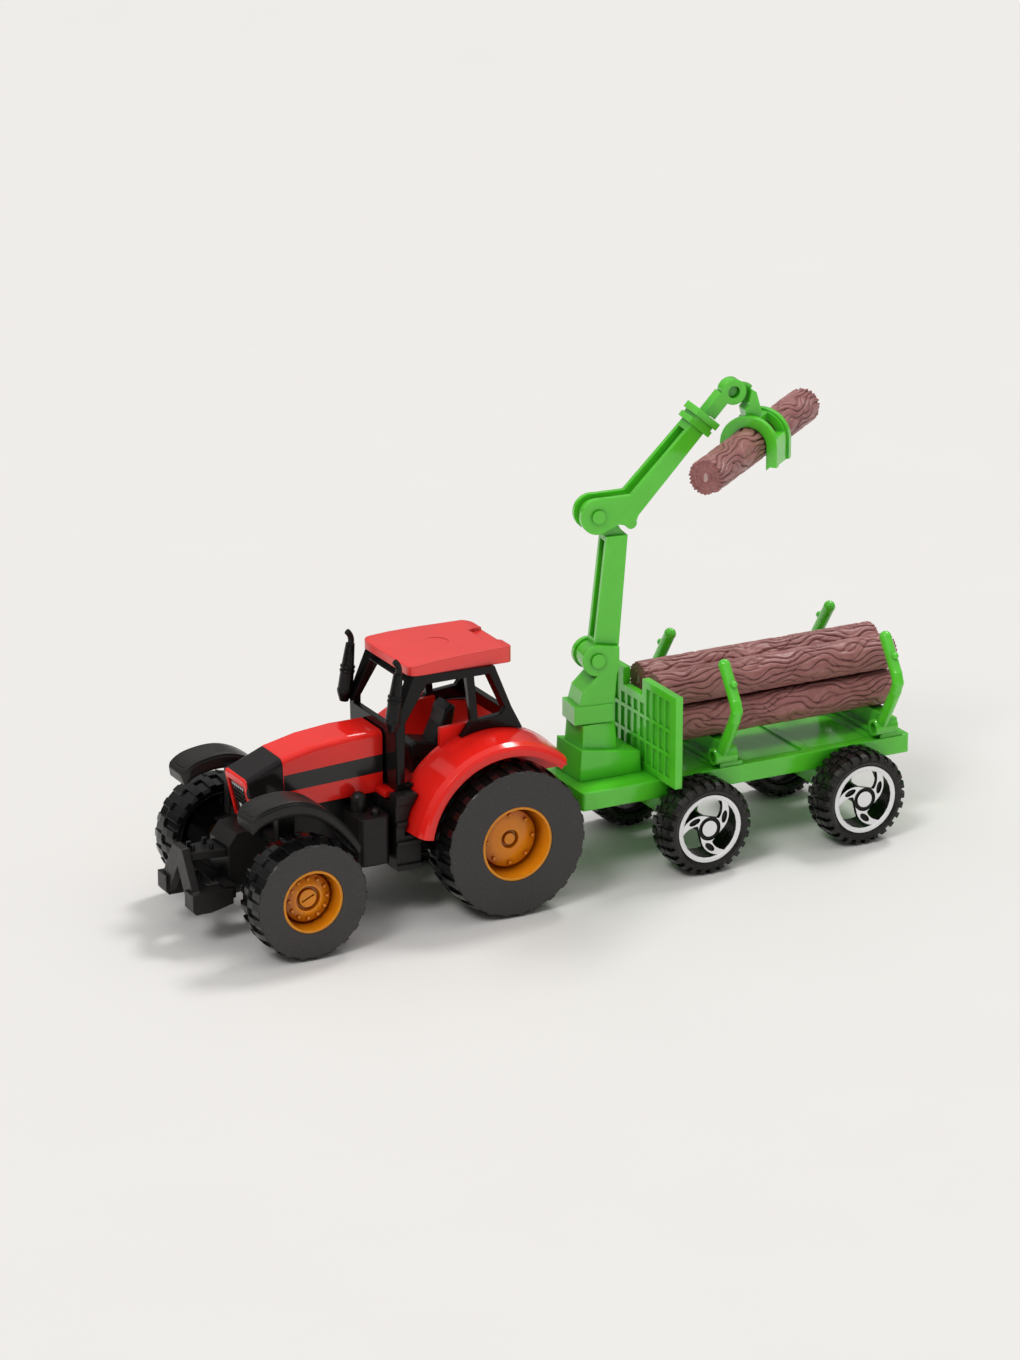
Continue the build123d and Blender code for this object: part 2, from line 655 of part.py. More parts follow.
with BuildPart() as chassis:
    with BuildSketch(side_plane(0)):
        polygon([
            (-89.8, CHASSIS_BOTTOM_Z + 1.0),
            (-89.8, 23.5),
            (-87.5, 26.6),
            (-82.0, 27.2),
            (-76.0, 30.6),
            (-49.7, FLOOR_Z - 0.1),
            (-12.8, FLOOR_Z - 0.1),
            (-10.5, 26.0),
            (-10.5, CHASSIS_BOTTOM_Z + 1.0),
            (-13.0, CHASSIS_BOTTOM_Z),
            (-88.0, CHASSIS_BOTTOM_Z),
        ])
    extrude(amount=CHASSIS_HALF, both=True)
    with BuildSketch(Plane.XY.offset(16.0)):
        with Locations((-50.0, 0)):
            Rectangle(37.0, 2 * 9.0, align=(Align.MIN, Align.CENTER))
    extrude(amount=FLOOR_Z - 0.1 - 16.0)
    for side in SIDES.values():
        with BuildSketch(Plane.XY.offset(16.0)):
            with Locations(((TANK_X[0] + TANK_X[1]) / 2, side * 10.4)):
                RectangleRounded(TANK_X[1] - TANK_X[0], 11.8, 1.6)
        extrude(amount=12.5)
        for dome_x, dome_y, dome_r, dome_top in [(-56.0, 9.5, 2.0, 33.7), (-53.4, 13.6, 1.1, 30.2)]:
            with BuildSketch(Plane.XY.offset(28.0)):
                with Locations((dome_x, side * dome_y)):
                    Circle(dome_r)
            extrude(amount=dome_top - dome_r - 28.0)
            with Locations((dome_x, side * dome_y, dome_top - dome_r)):
                Sphere(dome_r)
        for z0, z1, reach in [
            (14.0, 15.4, 18.0),
            (15.4, 20.5, 17.3),
            (20.5, 21.5, 17.8),
            (21.5, 25.6, 17.1),
            (25.6, 26.6, 17.6),
            (26.6, 31.0, 16.9),
        ]:
            with BuildSketch(Plane.XY.offset(z0)):
                with Locations((STEP_X[0], side * 5.0)):
                    Rectangle(
                        STEP_X[1] - STEP_X[0],
                        reach - 5.0,
                        align=(Align.MIN, Align.MIN if side > 0 else Align.MAX),
                    )
            extrude(amount=z1 - z0)
        with BuildSketch(Plane.XY.offset(31.0)):
            with Locations((STEP_X[0], side * 13.35)):
                Rectangle(
                    STEP_X[1] - STEP_X[0],
                    3.9,
                    align=(Align.MIN, Align.MIN if side > 0 else Align.MAX),
                )
        extrude(amount=2.4)
        with BuildSketch(side_plane(side * 9.6)):
            with Locations((REAR_AXLE_X, REAR_WHEEL_R)):
                Circle(FENDER_R + 0.15)
            with Locations((REAR_AXLE_X, 22.8)):
                Rectangle(80, 60, align=(Align.CENTER, Align.MAX), mode=Mode.SUBTRACT)
        extrude(amount=-side * 12, mode=Mode.SUBTRACT)
    with BuildSketch(along_y(FRONT_AXLE_X, -(FRONT_WHEEL_FACE_Y - FRONT_WHEEL_WIDTH + 0.1), FRONT_WHEEL_R)):
        Circle(2.2)
    extrude(amount=2 * (FRONT_WHEEL_FACE_Y - FRONT_WHEEL_WIDTH + 0.1))
    with BuildSketch(along_y(REAR_AXLE_X, -(REAR_WHEEL_FACE_Y - REAR_WHEEL_WIDTH + 0.1), REAR_WHEEL_R)):
        Circle(2.6)
    extrude(amount=2 * (REAR_WHEEL_FACE_Y - REAR_WHEEL_WIDTH + 0.1))
    for axle_x, axle_z in [(FRONT_AXLE_X, FRONT_WHEEL_R), (REAR_AXLE_X, REAR_WHEEL_R)]:
        with BuildSketch(along_y(axle_x, -40, axle_z)):
            Circle(AXLE_BORE_R)
        extrude(amount=80, mode=Mode.SUBTRACT)
    with BuildSketch(Plane.XY.offset(TAIL_PLATE_Z[0])):
        with Locations((HITCH_X, 0)):
            Circle(3.4)
        polygon([(-12.0, -4.5), (-12.0, 4.5), (HITCH_X, 3.4), (HITCH_X, -3.4)])
    extrude(amount=TAIL_PLATE_Z[1] - TAIL_PLATE_Z[0])
    with BuildSketch(Plane.XY.offset(TAIL_PLATE_Z[0])):
        with Locations((HITCH_X, 0)):
            Circle(HITCH_PEG_R)
    extrude(amount=PEG_TOP_Z - TAIL_PLATE_Z[0])
    for screw_x in SCREWS.values():
        with BuildSketch(Plane.XY.offset(CHASSIS_BOTTOM_Z - 1)):
            with Locations((screw_x, 0)):
                Circle(2.4)
        extrude(amount=3.2, mode=Mode.SUBTRACT)
        with BuildSketch(Plane.XY.offset(CHASSIS_BOTTOM_Z)):
            with Locations((screw_x, 0)):
                Circle(SCREW_R + 0.1)
        extrude(amount=20, mode=Mode.SUBTRACT)
finish_piece(chassis.part, "chassis")

with BuildPart() as chassis_screws:
    for screw_x in SCREWS.values():
        with BuildSketch(Plane.XY.offset(CHASSIS_BOTTOM_Z + 0.9)):
            with Locations((screw_x, 0)):
                Circle(2.2)
        extrude(amount=1.3)
        with BuildSketch(Plane.XY.offset(CHASSIS_BOTTOM_Z + 1.0)):
            with Locations((screw_x, 0)):
                Circle(SCREW_R)
        extrude(amount=FLOOR_Z + 3.4 - CHASSIS_BOTTOM_Z)
        with BuildSketch(Plane.XY.offset(CHASSIS_BOTTOM_Z + 0.9)):
            with Locations((screw_x, 0)):
                Rectangle(2.6, 0.5)
                Rectangle(0.5, 2.6)
        extrude(amount=0.6, mode=Mode.SUBTRACT)
finish_piece(chassis_screws.part, "chassis_screws")

GUARD_Y = (15.0, 25.0)
guard_top = [
    (-92.6, 35.9),
    (-89.8, 38.4),
    (-85.6, 39.6),
    (-79.8, 39.8),
    (-74.4, 38.0),
    (-69.4, 34.3),
    (-65.1, 29.4),
    (-61.9, 24.4),
]
guard_under = [
    (-63.9, 23.6),
    (-67.4, 28.2),
    (-71.4, 32.2),
    (-75.6, 34.9),
    (-80.0, 36.1),
    (-85.5, 36.0),
    (-89.2, 35.0),
    (-91.8, 33.2),
]
GUARD_LAYERS = [(15.0, 15.3, 0.16), (15.3, 24.2, 0.0), (24.2, 24.7, 0.1), (24.7, 25.0, 0.22)]


def towards(points, others, share):
    """Points moved a share of the way to their partners on the opposite line."""
    return [
        (x + (u - x) * share, z + (w - z) * share)
        for (x, z), (u, w) in zip(points, reversed(others))
    ]


for side_name, side in SIDES.items():
    with BuildPart() as mudguard:
        for y0, y1, inset in GUARD_LAYERS:
            with BuildSketch(side_plane(side * y0)):
                with BuildLine():
                    top_line = Spline(*towards(guard_top, guard_under, inset))
                    under_line = Spline(*towards(guard_under, guard_top, inset))
                    Line(top_line @ 1, under_line @ 0)
                    Line(under_line @ 1, top_line @ 0)
                make_face()
            extrude(amount=-side * (y1 - y0))
        with BuildSketch(Plane.XY.offset(20.0)):
            with Locations((-77.2, side * 20.0)):
                RectangleRounded(31.4, 10.0, 3.0)
        extrude(amount=30, mode=Mode.INTERSECT)
        with BuildSketch(Plane.XY.offset(24.4)):
            with Locations((-78.8, side * 14.3)):
                Rectangle(4.6, 2.4)
        extrude(amount=13.0)
        with BuildSketch(Plane.XY.offset(24.4)):
            with Locations((-78.8, side * (CHASSIS_HALF + 15.5) / 2)):
                Rectangle(3.6, 15.5 - CHASSIS_HALF)
        extrude(amount=2.4)
    finish_piece(mudguard.part, f"front_mudguard_{side_name}")

with BuildPart() as front_linkage:
    with BuildSketch(Plane.YZ.offset(-101.3)):
        polygon([
            (-2.6, 24.0), (2.6, 24.0), (9.6, 13.0), (9.6, 10.0),
            (5.6, 10.0), (0.0, 18.8), (-5.6, 10.0), (-9.6, 10.0), (-9.6, 13.0),
        ])
    extrude(amount=2.0)
    for side in SIDES.values():
        with BuildSketch(side_plane(side * 5.5)):
            polygon([
                (FRONT_X, 10.2), (FRONT_X + 0.8, 9.2), (-97.0, 9.2),
                (-91.0, 10.6), (-91.0, 14.4), (FRONT_X, 14.4),
            ])
        extrude(amount=-side * 5.0)
        with BuildSketch(side_plane(side * 1.2)):
            polygon([(-99.6, 20.5), (-99.6, 22.6), (-90.8, 15.6), (-90.8, 13.0), (-92.0, 13.0)])
        extrude(amount=-side * 1.6)
        with BuildSketch(Plane.XY.offset(22.4)):
            with Locations((-93.0, side * 2.0), (-97.6, side * 1.2)):
                Circle(0.6)
        extrude(amount=1.8)
    with BuildSketch(Plane.XY.offset(20.6)):
        polygon([(-99.6, -2.6), (-99.6, 2.6), (-89.85, 4.2), (-89.85, -4.2)])
    extrude(amount=2.0)
    with BuildSketch(Plane.XY.offset(11.6)):
        with Locations((-91.35, 0)):
            Rectangle(3.0, 2 * 9.5)
    extrude(amount=3.4)
finish_piece(front_linkage.part, "front_linkage")

# ---------------------------------------------------------------- trailer
DRAWBAR_Z = (16.3, 18.3)

with BuildPart() as trailer_deck:
    with BuildSketch(Plane.XY.offset(DECK_BOTTOM_Z)):
        with Locations((DECK_FRONT_X, 0)):
            RectangleRounded(TAIL_X - DECK_FRONT_X, 2 * DECK_HALF, 1.0, align=(Align.MIN, Align.CENTER))
    extrude(amount=DECK_TOP_Z - DECK_BOTTOM_Z)
    with BuildSketch(Plane.XY.offset(DECK_BOTTOM_Z)):
        with Locations((DECK_FRONT_X + 1.4, 0)):
            Rectangle(TAIL_X - DECK_FRONT_X - 2.8, 2 * DECK_HALF - 2.8, align=(Align.MIN, Align.CENTER))
    extrude(amount=DECK_TOP_Z - DECK_BOTTOM_Z - 1.6, mode=Mode.SUBTRACT)
    with BuildSketch(Plane.XY.offset(DECK_BOTTOM_Z)):
        for rib_x in [13.5, 28.2, 48.5, 59.5, 71.0, 96.6]:
            with Locations((rib_x, 0)):
                Rectangle(1.2, 2 * DECK_HALF - 1.0)
        for rib_y in [-5.0, 5.0]:
            with Locations(((DECK_FRONT_X + TAIL_X) / 2, rib_y)):
                Rectangle(TAIL_X - DECK_FRONT_X - 2.0, 1.0)
    extrude(amount=DECK_TOP_Z - DECK_BOTTOM_Z - 1.0)
    with BuildSketch(Plane.XY.offset(DECK_TOP_Z - 0.5)):
        for panel_x in [38.5, 62.5, 82.5]:
            with Locations((panel_x, 0)):
                RectangleRounded(17.5 if panel_x > 50 else 11.5, 23.0, 0.8)
    extrude(amount=1, mode=Mode.SUBTRACT)
    for axle_x in [TRAILER_FRONT_AXLE_X, TRAILER_REAR_AXLE_X]:
        with BuildSketch(side_plane(0)):
            polygon([
                (axle_x - 4.5, DECK_TOP_Z - 1.0), (axle_x + 4.5, DECK_TOP_Z - 1.0),
                (axle_x + 2.6, 10.0), (axle_x - 2.6, 10.0),
            ])
        extrude(amount=12.5, both=True)
        tube_y = TRAILER_WHEEL_FACE_Y - TRAILER_WHEEL_WIDTH + 0.1
        with BuildSketch(along_y(axle_x, -tube_y, TRAILER_WHEEL_R)):
            Circle(2.3)
        extrude(amount=2 * tube_y)
        with BuildSketch(along_y(axle_x, -20, TRAILER_WHEEL_R)):
            Circle(AXLE_BORE_R)
        extrude(amount=40, mode=Mode.SUBTRACT)
    with BuildSketch(Plane.XY.offset(DRAWBAR_Z[0])):
        polygon([(HITCH_X, -2.6), (HITCH_X, 2.6), (DECK_FRONT_X + 2, 4.0), (DECK_FRONT_X + 2, -4.0)])
        with Locations((HITCH_X, 0)):
            Circle(3.4)
    extrude(amount=DRAWBAR_Z[1] - DRAWBAR_Z[0])
    with BuildSketch(Plane.XY.offset(DRAWBAR_Z[0])):
        with Locations((DECK_FRONT_X, 0)):
            Rectangle(24.0, 8.0, align=(Align.MIN, Align.CENTER))
    extrude(amount=DECK_TOP_Z - 1.0 - DRAWBAR_Z[0])
    with BuildSketch(Plane.XY.offset(DRAWBAR_Z[0] - 1)):
        with Locations((HITCH_X, 0)):
            Circle(HITCH_PEG_R + 0.08)
    extrude(amount=4, mode=Mode.SUBTRACT)
finish_piece(trailer_deck.part, "trailer_deck")

PEDESTAL_X = (8.4, 26.1)
with BuildPart() as crane_pedestal:
    with BuildSketch(side_plane(0)):
        polygon([
            (PEDESTAL_X[0], DECK_TOP_Z), (PEDESTAL_X[0] + 0.4, 32.6),
            (PEDESTAL_X[1] - 0.4, 29.7), (PEDESTAL_X[1], DECK_TOP_Z),
        ])
    extrude(amount=6.65, both=True)
    with BuildSketch(Plane.XY.offset(29.0)):
        with Locations((9.9, 0)):
            Rectangle(10.1, 10.0, align=(Align.MIN, Align.CENTER))
    extrude(amount=PEDESTAL_TOP_Z - 29.0, taper=3)
    with BuildSketch(Plane.XY.offset(30.0)):
        with Locations((SLEW_X, 0)):
            Circle(2.28)
    extrude(amount=10, mode=Mode.SUBTRACT)
finish_piece(crane_pedestal.part, "crane_pedestal")

HEADBOARD_TOP_Z = 48.5
HEADBOARD_HALF = 22.5
SLAT_PITCH = 3.3
with BuildPart() as headboard:
    with BuildSketch(Plane.YZ.offset(HEADBOARD_X - HEADBOARD_T / 2)):
        polygon([
            (-HEADBOARD_HALF, DECK_TOP_Z + 0.02), (-HEADBOARD_HALF, HEADBOARD_TOP_Z),
            (-5.0, HEADBOARD_TOP_Z), (-5.0, 44.0), (5.0, 44.0), (5.0, HEADBOARD_TOP_Z),
            (HEADBOARD_HALF, HEADBOARD_TOP_Z), (HEADBOARD_HALF, DECK_TOP_Z + 0.02),
        ])
    extrude(amount=HEADBOARD_T)
    for face_x, depth in [(HEADBOARD_X - HEADBOARD_T / 2, 0.5), (HEADBOARD_X + HEADBOARD_T / 2, -0.4)]:
        with BuildSketch(Plane.YZ.offset(face_x)):
            for slot_y in [SLAT_PITCH * (k - 5.5) for k in range(12)]:
                slot_top = 41.9 if abs(slot_y) < 6.7 else 46.4
                for z0, z1 in [(26.0, 31.5), (32.5, 38.0), (39.0, slot_top)]:
                    with Locations((slot_y, (z0 + z1) / 2)):
                        Rectangle(2.2, z1 - z0)
        extrude(amount=depth, mode=Mode.SUBTRACT)
    with BuildSketch(Plane.XY.offset(DECK_TOP_Z + 0.02)):
        with Locations((HEADBOARD_X + 1.6, -11.0), (HEADBOARD_X + 1.6, 11.0)):
            Rectangle(2.4, 1.4)
    extrude(amount=4.0)
finish_piece(headboard.part, "headboard")

STAKE_R = 1.55
STAKE_LINE = [(13.4, 28.0), (19.7, 38.8), (20.7, 41.4), (19.9, 43.5), (14.1, 51.9)]
for position, stake_x in STAKE_XS.items():
    with BuildPart() as stakes:
        with BuildSketch(Plane.XY.offset(DECK_TOP_Z + 0.02)):
            with Locations((stake_x - 0.8, 0)):
                Rectangle(6.6, 28.0, align=(Align.MIN, Align.CENTER))
        extrude(amount=1.2)
        with BuildSketch(Plane.XY.offset(DECK_TOP_Z + 1.0)):
            with Locations((stake_x + 2.6, 0)):
                Rectangle(3.6, 22.0)
        extrude(amount=LOG_REST_Z - DECK_TOP_Z - 1.0)
        for side in SIDES.values():
            with BuildSketch(Plane.XY.offset(DECK_TOP_Z + 0.5)):
                with Locations((stake_x + 2.0, side * 12.4)):
                    Rectangle(4.6, 3.4)
            extrude(amount=4.6, taper=2)
            with BuildSketch(Plane.YZ.offset(stake_x - 2.4)):
                with Locations((side * 12.7, 26.9)):
                    Circle(2.2)
            extrude(amount=6.4)
            with BuildSketch(Plane.YZ.offset(stake_x - 2.4)):
                with Locations((side * 12.7, 26.9)):
                    Circle(1.3)
            extrude(amount=1.2, mode=Mode.SUBTRACT)
            for (y0, z0), (y1, z1) in zip(STAKE_LINE, STAKE_LINE[1:]):
                rise = Plane(
                    origin=(stake_x, side * y0, z0),
                    x_dir=(1, 0, 0),
                    z_dir=(0, side * (y1 - y0), z1 - z0),
                )
                with BuildSketch(rise):
                    Circle(STAKE_R)
                extrude(amount=((y1 - y0) ** 2 + (z1 - z0) ** 2) ** 0.5)
            with Locations([(stake_x, side * y, z) for y, z in STAKE_LINE]):
                Sphere(STAKE_R + 0.05)
            with Locations((stake_x, side * 19.0, 48.2)):
                Sphere(0.95)
            with BuildSketch(Plane(origin=(stake_x, side * 17.0, 47.2), z_dir=(0, side * 2.0, 1.0))):
                Circle(0.8)
            extrude(amount=2.2)
    finish_piece(stakes.part, f"{position}_stakes")


def make_log(name, axis_plane):
    """Moulded log lying along a plane's normal, with grooved ends and a gate dimple."""
    with BuildPart() as log:
        with BuildSketch(axis_plane):
            Circle(LOG_R)
        extrude(amount=LOG_LENGTH / 2, both=True)
        chamfer(log.edges(), length=0.25)
        for end in [-1, 1]:
            with BuildSketch(axis_plane.offset(end * (LOG_LENGTH / 2 - 0.2))):
                for groove_r in [1.7, 2.9]:
                    Circle(groove_r + 0.12)
                    Circle(groove_r - 0.12, mode=Mode.SUBTRACT)
            extrude(amount=end * 0.4, mode=Mode.SUBTRACT)
            with BuildSketch(axis_plane.offset(end * (LOG_LENGTH / 2 - 0.25))):
                Circle(0.5)
            extrude(amount=end * 0.4, mode=Mode.SUBTRACT)
    finish_piece(log.part, name)


LOG_Y = LOG_R + LOG_GAP + 0.05
LOG_ZS = [LOG_REST_Z + LOG_R + 0.05, LOG_REST_Z + 3 * LOG_R + 0.35]
log_places = [
    ("log_1", 31.0, -LOG_Y, LOG_ZS[0]),
    ("log_2", 31.7, LOG_Y, LOG_ZS[0]),
    ("log_3", 30.7, -LOG_Y, LOG_ZS[1]),
    ("log_4", 31.4, LOG_Y, LOG_ZS[1]),
]
for name, start_x, log_y, log_z in log_places:
    make_log(name, Plane(origin=(start_x + LOG_LENGTH / 2, log_y, log_z), x_dir=(0, 1, 0), z_dir=(1, 0, 0)))

# ---------------------------------------------------------------- crane
SLEW = radians(SLEW_REST_DEG)
CRANE = Plane(origin=(SLEW_X, 0, 0), x_dir=(cos(SLEW), sin(SLEW), 0), z_dir=(sin(SLEW), -cos(SLEW), 0))
CHEEK_HALF = 4.2
COLUMN_HALF = 2.7
EAR_HALF = 1.8
ARM_HALF = 3.2

with BuildPart() as crane_turret:
    with BuildSketch(CRANE):
        polygon([(-4.7, 38.5), (5.9, 38.5), (5.9, 43.3), (-4.7, 43.3)])
    extrude(amount=CHEEK_HALF + 0.3, both=True)
    with BuildSketch(CRANE):
        polygon([
            (-3.4, 43.0), (6.2, 43.0), (6.9, 51.0), (7.5, 52.4), (7.5, 58.3),
            (BOOM_PIVOT[0], BOOM_PIVOT[1] + 4.1), (BOOM_PIVOT[0], 51.0), (-2.3, 47.0),
        ])
        with Locations(BOOM_PIVOT):
            Circle(4.1)
    extrude(amount=CHEEK_HALF, both=True)
    with BuildSketch(CRANE):
        polygon([(-6.0, 51.0), (9.0, 51.0), (9.0, 62.0), (-6.0, 62.0)])
    extrude(amount=COLUMN_HALF + 0.1, both=True, mode=Mode.SUBTRACT)
    with BuildSketch(CRANE):
        with Locations(BOOM_PIVOT):
            Circle(PIN_BORE_R)
    extrude(amount=6, both=True, mode=Mode.SUBTRACT)
    with BuildSketch(Plane.XY.offset(30.5)):
        with Locations((SLEW_X, 0)):
            Circle(2.2)
    extrude(amount=8.5)
finish_piece(crane_turret.part, "crane_turret")


def make_pin(name, pivot, half_length, head_r):
    """Cross pin with a head on both ends, on one of the crane's pivots."""
    with BuildPart() as pin:
        with BuildSketch(CRANE):
            with Locations(pivot):
                Circle(PIN_R)
        extrude(amount=half_length + 0.6, both=True)
        for end in [-1, 1]:
            with BuildSketch(CRANE.offset(end * (half_length + 0.12))):
                with Locations(pivot):
                    Circle(head_r)
            extrude(amount=end * 0.6)
    finish_piece(pin.part, name)


make_pin("boom_pin", BOOM_PIVOT, CHEEK_HALF, 1.9)
make_pin("arm_pin", ARM_PIVOT, ARM_HALF, 1.8)

with BuildPart() as crane_column:
    with BuildSketch(CRANE):
        polygon([(1.31, 58.3), (7.89, 58.3), (10.12, 87.3), (4.43, 87.3)])
        polygon([(-1.6, 53.6), (1.31, 58.5), (7.89, 58.5), (4.2, 52.6)])
        with Locations(BOOM_PIVOT):
            Circle(3.6)
    extrude(amount=COLUMN_HALF, both=True)
    with BuildSketch(CRANE):
        polygon([(0.0, 60.2), (6.6, 60.2), (8.6, 85.9), (3.0, 85.9)])
    extrude(amount=1.5, both=True, mode=Mode.SUBTRACT)
    with BuildSketch(CRANE):
        polygon([(4.43, 87.0), (9.7, 87.0), (8.0, 89.6), (3.4, 96.0), (0.0, 90.6)])
        with Locations(ARM_PIVOT):
            Circle(3.5)
    extrude(amount=EAR_HALF, both=True)
    for pivot, bore_r in [(BOOM_PIVOT, PIN_R), (ARM_PIVOT, PIN_BORE_R)]:
        with BuildSketch(CRANE):
            with Locations(pivot):
                Circle(bore_r)
        extrude(amount=6, both=True, mode=Mode.SUBTRACT)
finish_piece(crane_column.part, "crane_column")

COLLAR = (31.46, 115.3)
ARM_DEG = 48.4
HOOK_A = 9.7
HOOK_B = -1.5
TAIL_B = (-0.2, 1.6)
HOOK_R = 3.3


def on_arm(a, b):
    """Point in the crane's plane, a along the forearm's end and b across it."""
    d = radians(ARM_DEG)
    return (COLLAR[0] + a * cos(d) - b * sin(d), COLLAR[1] + a * sin(d) + b * cos(d))


def arm_block(a0, a1, b0, b1):
    """Corners of a block square to the forearm's end."""
    return [on_arm(a0, b0), on_arm(a1, b0), on_arm(a1, b1), on_arm(a0, b1)]


HOOK = on_arm(HOOK_A, HOOK_B)

with BuildPart() as crane_forearm:
    with BuildSketch(CRANE):
        polygon([
            (1.2, 97.6), on_arm(-26.8, 3.9), on_arm(-2.0, 3.0), on_arm(-2.0, -1.2),
            on_arm(-29.5, -1.3), (11.6, 89.4), (7.6, 90.4), (3.6, 88.6),
        ])
        with Locations(ARM_PIVOT):
            Circle(4.7)
        with Locations((10.87, 90.4)):
            Circle(1.5)
    extrude(amount=ARM_HALF, both=True)
    with BuildSketch(CRANE):
        polygon([
            (4.0, 101.0), (8.0, 92.0), on_arm(-29.0, -0.4), on_arm(-5.5, -0.4),
            on_arm(-5.5, 6.0), (9.0, 101.0),
        ])
        with Locations(ARM_PIVOT):
            Circle(10.1)
    extrude(amount=EAR_HALF + 0.1, both=True, mode=Mode.SUBTRACT)
    with BuildSketch(CRANE):
        polygon(arm_block(-3.4, -1.8, -2.7, 4.3))
        polygon(arm_block(-2.0, -0.2, -2.1, 3.7))
    extrude(amount=ARM_HALF + 0.4, both=True)
    with BuildSketch(CRANE):
        polygon(arm_block(-0.9, 1.0, -2.9, 4.4))
    extrude(amount=ARM_HALF + 0.9, both=True)
    with BuildSketch(CRANE):
        polygon(arm_block(-9.0, 2.0, TAIL_B[0] - 0.1, TAIL_B[1] + 0.1))
    extrude(amount=1.8, both=True, mode=Mode.SUBTRACT)
    with BuildSketch(CRANE):
        with Locations(ARM_PIVOT):
            Circle(PIN_R)
    extrude(amount=6, both=True, mode=Mode.SUBTRACT)
finish_piece(crane_forearm.part, "crane_forearm")

with BuildPart() as crane_stick:
    with BuildSketch(CRANE):
        polygon(arm_block(-14.0, 2.0, *TAIL_B))
        polygon(arm_block(1.25, HOOK_A - 2.2, -2.0, 1.6))
        with Locations(HOOK):
            Circle(HOOK_R)
    extrude(amount=1.7, both=True)
    with BuildSketch(CRANE):
        with Locations(HOOK):
            Circle(1.58)
    extrude(amount=3, both=True, mode=Mode.SUBTRACT)
    with BuildSketch(CRANE):
        polygon(arm_block(-14.5, HOOK_A - 5.6, 0.1, 1.2))
    extrude(amount=0.7, both=True, mode=Mode.SUBTRACT)
finish_piece(crane_stick.part, "crane_stick")

LOG_RHO_Z = (45.72, 107.74)
LOG_HEADING = radians(LOG_HEADING_DEG)
HELD = (SLEW_X + LOG_RHO_Z[0] * cos(SLEW), LOG_RHO_Z[0] * sin(SLEW), LOG_RHO_Z[1])
JAW = Plane(
    origin=HELD,
    x_dir=(sin(LOG_HEADING), -cos(LOG_HEADING), 0),
    z_dir=(-cos(LOG_HEADING), -sin(LOG_HEADING), 0),
)
JAW_IN_R = LOG_R + 0.1
JAW_OUT_R = 7.2
JAW_HALF = 5.2
JAW_RIGHT_Z = -5.0
JAW_LEFT_Z = -2.6


def jaw_arch(outer_r):
    """Arch over the log with straight legs, open below, in the current sketch."""
    Circle(outer_r)
    polygon([(0.0, 0.0), (outer_r, 0.0), (outer_r, JAW_RIGHT_Z), (0.0, JAW_RIGHT_Z)])
    Circle(JAW_IN_R, mode=Mode.SUBTRACT)
    Polygon(
        (-JAW_IN_R, 0.0), (JAW_IN_R, 0.0), (JAW_IN_R, -12.0), (-JAW_IN_R, -12.0),
        mode=Mode.SUBTRACT,
    )
    Polygon((-12.0, JAW_LEFT_Z), (0.0, JAW_LEFT_Z), (0.0, -12.0), (-12.0, -12.0), mode=Mode.SUBTRACT)


with BuildPart() as grapple:
    with BuildSketch(JAW):
        jaw_arch(JAW_OUT_R)
    extrude(amount=JAW_HALF, both=True)
    for end in [-1, 1]:
        with BuildSketch(JAW.offset(end * (JAW_HALF - 1.6))):
            jaw_arch(JAW_OUT_R + 0.5)
        extrude(amount=end * 1.6)
    with BuildSketch(JAW):
        polygon([(2.0, 2.4), (6.9, 2.4), (6.9, 12.0), (2.0, 12.0)])
    extrude(amount=2.9, both=True, mode=Mode.SUBTRACT)
    with BuildSketch(CRANE):
        polygon([(39.6, 123.8), (44.6, 122.4), (42.9, 118.0), (38.2, 119.4)])
        with Locations(HOOK):
            Circle(2.3)
    extrude(amount=-2.85)
    with BuildSketch(CRANE):
        with Locations(HOOK):
            Circle(HOOK_R + 0.25)
    extrude(amount=-1.8, mode=Mode.SUBTRACT)
    with BuildSketch(CRANE):
        polygon([
            (43.6, 122.0), (44.9, 121.2), (46.4, 115.9), (45.6, 113.2), (42.9, 112.6), (41.9, 116.6),
            (42.9, 118.0),
        ])
    extrude(amount=2.2, both=True)
    with BuildSketch(JAW):
        Circle(JAW_IN_R)
    extrude(amount=JAW_HALF + 1, both=True, mode=Mode.SUBTRACT)
    with BuildSketch(CRANE.offset(0.5)):
        with Locations(HOOK):
            Circle(1.5)
    extrude(amount=-3.3)
finish_piece(grapple.part, "grapple")

make_log("held_log", Plane(origin=HELD, x_dir=JAW.x_dir, z_dir=(cos(LOG_HEADING), sin(LOG_HEADING), 0)))
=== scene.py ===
"""Looks for the toy tractor with its log trailer and crane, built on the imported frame."""
import math

import bpy
import numpy as np
from mathutils import Matrix, Vector


